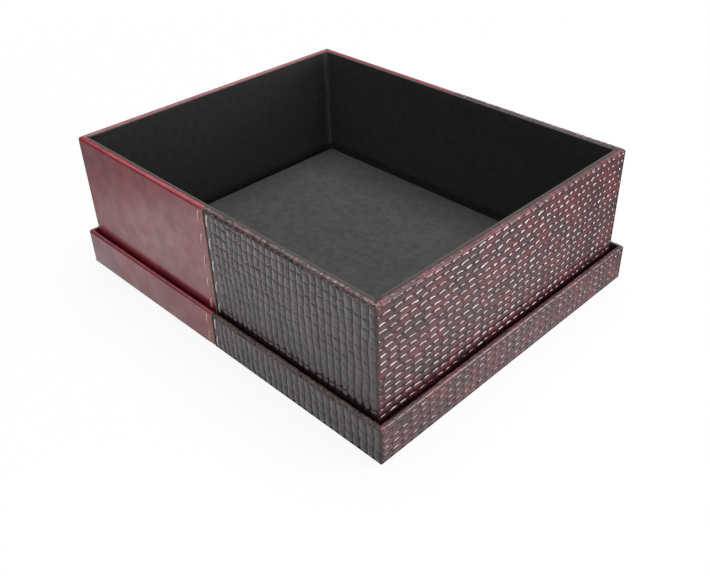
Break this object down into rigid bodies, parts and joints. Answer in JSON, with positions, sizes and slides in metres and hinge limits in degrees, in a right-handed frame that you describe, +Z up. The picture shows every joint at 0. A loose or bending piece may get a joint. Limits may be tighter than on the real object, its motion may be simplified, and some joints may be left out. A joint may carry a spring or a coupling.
{
  "type": "stationery box",
  "caption": "Rectangular two-tone leather-covered stationery box with an open, velvet-lined inside, standing in its own upturned lift-off lid.",
  "frame": {"origin": "middle of the upturned lid's footprint, on the surface it stands on", "axes": "+X along the long side towards the embossed half, +Y from the front to the back, +Z up"},
  "size_m": [0.37, 0.3058, 0.126],
  "materials": {
    "smooth_leather": "smooth wine-red leather with a soft polish",
    "embossed_leather": "dark leather embossed with reptile scales, polished on the raised scales",
    "greyboard": "rigid grey board",
    "liner_card": "grey card",
    "black_velvet": "short black velvet pile",
    "black_lining": "thin black suede lining",
    "base_paper": "black paper",
    "ivory_thread": "thick waxed ivory thread",
    "pink_thread": "thick waxed pale pink thread"
  },
  "bodies": {
    "lid": {"lid_back_board": "greyboard", "lid_back_lining": "black_lining", "lid_embossed_cover": "embossed_leather", "lid_embossed_panel": "embossed_leather", "lid_embossed_stitches": "ivory_thread", "lid_embossed_top_stitches": "ivory_thread", "lid_front_board": "greyboard", "lid_front_lining": "black_lining", "lid_left_board": "greyboard", "lid_left_lining": "black_lining", "lid_right_board": "greyboard", "lid_right_lining": "black_lining", "lid_smooth_cover": "smooth_leather", "lid_smooth_panel": "smooth_leather", "lid_smooth_stitches": "pink_thread", "lid_smooth_top_stitches": "pink_thread", "lid_top_board": "greyboard", "lid_top_lining": "black_lining"},
    "box": {"box_back_board": "greyboard", "box_back_liner_card": "liner_card", "box_back_velvet": "black_velvet", "box_base_sheet": "base_paper", "box_embossed_cover": "embossed_leather", "box_embossed_stitches": "ivory_thread", "box_floor_board": "greyboard", "box_floor_card": "liner_card", "box_floor_velvet": "black_velvet", "box_front_board": "greyboard", "box_front_liner_card": "liner_card", "box_front_velvet": "black_velvet", "box_left_board": "greyboard", "box_left_liner_card": "liner_card", "box_left_velvet": "black_velvet", "box_right_board": "greyboard", "box_right_liner_card": "liner_card", "box_right_velvet": "black_velvet", "box_smooth_cover": "smooth_leather", "box_smooth_stitches": "pink_thread"}
  },
  "joints": [
    {"name": "box_lift", "type": "slide", "parent": "lid", "child": "box", "axis": [0, 0, 1], "range_m": [0, 0.1]}
  ]
}
